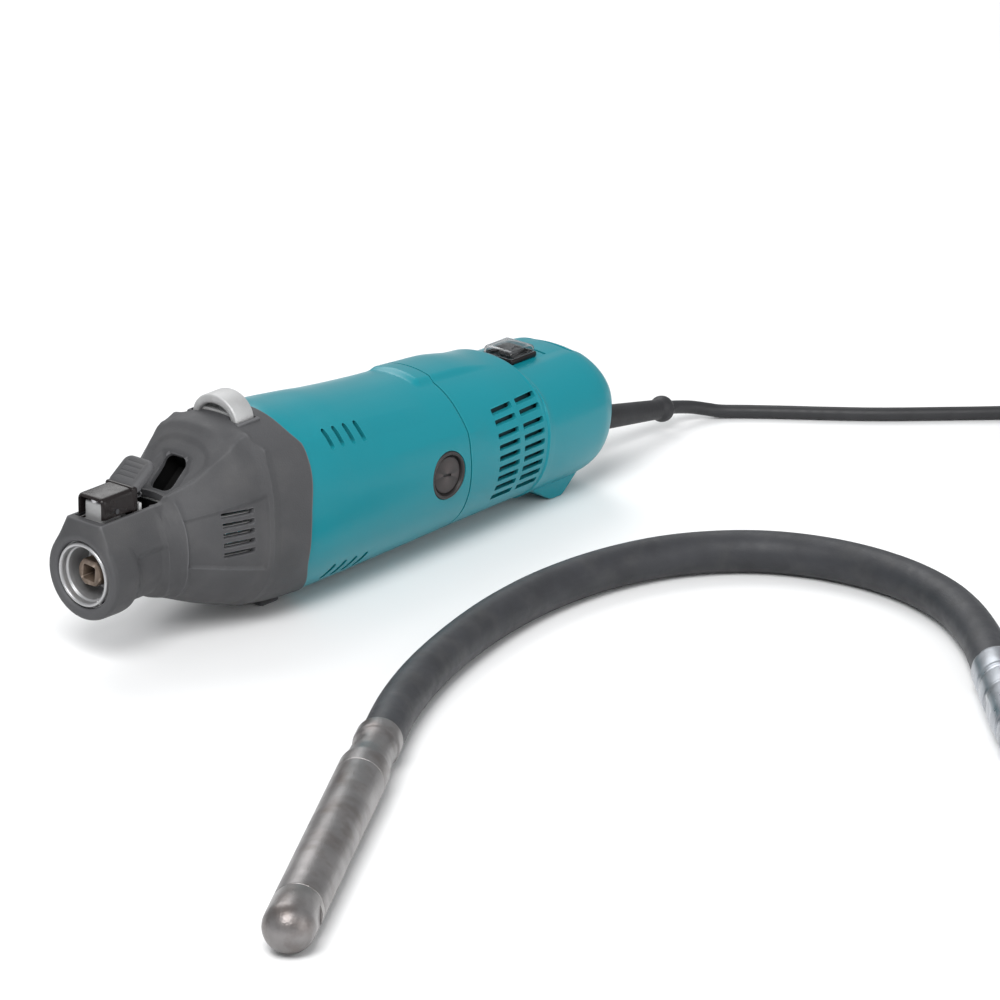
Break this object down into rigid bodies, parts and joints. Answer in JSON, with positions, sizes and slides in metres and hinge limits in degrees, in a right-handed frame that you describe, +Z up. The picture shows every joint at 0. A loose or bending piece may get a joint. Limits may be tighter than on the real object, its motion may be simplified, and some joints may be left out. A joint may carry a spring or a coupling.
{
  "type": "concrete vibrator",
  "caption": "Electric drive unit for a concrete vibrator, with a quick-release socket, a mains cord and a flexible shaft that ends in a round poker.",
  "frame": {"origin": "under the middle of the drive unit, on the surface that it stands on", "axes": "+X along the motor from the socket to the cord, +Z up, +Y to the right of someone who looks from the socket along +X"},
  "size_m": [0.9273, 0.5353, 0.1301],
  "materials": {
    "teal_plastic": "semi-gloss moulded plastic",
    "grey_rubber": "satin moulded rubber",
    "black_rubber": "matte rubber",
    "black_plastic": "satin plastic",
    "clear_plastic": "clear plastic",
    "white_plastic": "satin plastic",
    "cast_aluminium": "as cast",
    "bright_aluminium": "machined and bead blasted",
    "steel": "machined",
    "bright_steel": "zinc plated",
    "worn_steel": "worn bare steel",
    "brown_steel": "oil blackened, brownish",
    "brass": "drawn",
    "copper": "varnished copper"
  },
  "bodies": {
    "root": {"bearing_bracket": "cast_aluminium", "brush_cap_left": "black_plastic", "brush_cap_right": "black_plastic", "brush_holder_left": "brass", "brush_holder_right": "brass", "carbon_brush_left": "black_plastic", "carbon_brush_right": "black_plastic", "clamp_screw_left": "steel", "clamp_screw_right": "steel", "coil_tie": "black_plastic", "cord_clamp": "black_plastic", "cord_coil": "black_rubber", "cord_guard": "black_rubber", "cord_tail": "black_rubber", "cover_screw_1": "steel", "cover_screw_2": "steel", "cover_screw_3": "steel", "cover_screw_4": "steel", "fan_baffle": "black_plastic", "field_coil_lower": "copper", "field_coil_upper": "copper", "front_bearing": "steel", "front_housing": "cast_aluminium", "hook_eye": "bright_aluminium", "hook_screw_left": "steel", "hook_screw_right": "steel", "latch_pin": "steel", "latch_spring": "steel", "mains_cord": "black_rubber", "motor_housing": "teal_plastic", "plug_body": "black_rubber", "plug_pin_left": "steel", "plug_pin_right": "steel", "rear_bearing": "steel", "rear_cover": "teal_plastic", "rubber_boot": "grey_rubber", "shaft_seal": "black_rubber", "socket_ring": "bright_aluminium", "stator_core": "steel", "switch_bezel": "black_plastic", "switch_body": "black_plastic", "switch_guard": "clear_plastic"},
    "rotor": {"armature_shaft": "steel", "armature_core": "steel", "commutator": "copper", "cooling_fan": "white_plastic", "drive_socket": "brown_steel"},
    "latch": {"latch_lever": "black_plastic", "thumb_pad": "grey_rubber"},
    "lock": {"lock_pin": "steel"},
    "rocker": {"switch_rocker": "black_plastic"},
    "flex_shaft": {"flex_hose": "black_rubber", "hose_ferrule": "bright_steel", "coupling_sleeve": "bright_steel", "poker_neck": "worn_steel", "poker_tube": "worn_steel", "poker_bearing": "steel", "poker_tip": "worn_steel"},
    "drive_end": {"drive_tip": "steel"},
    "weight": {"eccentric": "steel"}
  },
  "joints": [
    {"name": "rotor_spin", "type": "hinge", "parent": "root", "child": "rotor", "pos_m": [0, 0, 0.053], "axis": [1, 0, 0], "continuous": true},
    {"name": "latch_press", "type": "hinge", "parent": "root", "child": "latch", "pos_m": [-0.1825, 0, 0.088], "axis": [0, 1, 0], "range_deg": [0, 12], "stiffness_Nm_per_rad": 1.5, "springref_deg": -2.86, "deforming": ["latch_spring"]},
    {"name": "lock_lift", "type": "slide", "parent": "root", "child": "lock", "axis": [0, 0, 1], "range_m": [0, 0.0015]},
    {"name": "rocker_tip", "type": "hinge", "parent": "root", "child": "rocker", "pos_m": [0.155, 0, 0.0815], "axis": [0, 1, 0], "range_deg": [0, 16]},
    {"name": "shaft_lift", "type": "slide", "parent": "root", "child": "flex_shaft", "axis": [0, 0, 1], "range_m": [0, 0.25]},
    {"name": "weight_spin", "type": "hinge", "parent": "flex_shaft", "child": "weight", "pos_m": [-0.25452, -0.2508, 0.0143], "axis": [-0.853, -0.5219, 0], "continuous": true},
    {"name": "drive_spin", "type": "hinge", "parent": "flex_shaft", "child": "drive_end", "pos_m": [0.07684, -0.4231, 0.0145], "axis": [-0.6917, -0.7222, 0], "continuous": true}
  ],
  "couplings": [
    {"joint": "lock_lift", "follows": "latch_press", "m_per_rad": 0.006},
    {"joint": "drive_spin", "follows": "weight_spin", "ratio": -1}
  ]
}
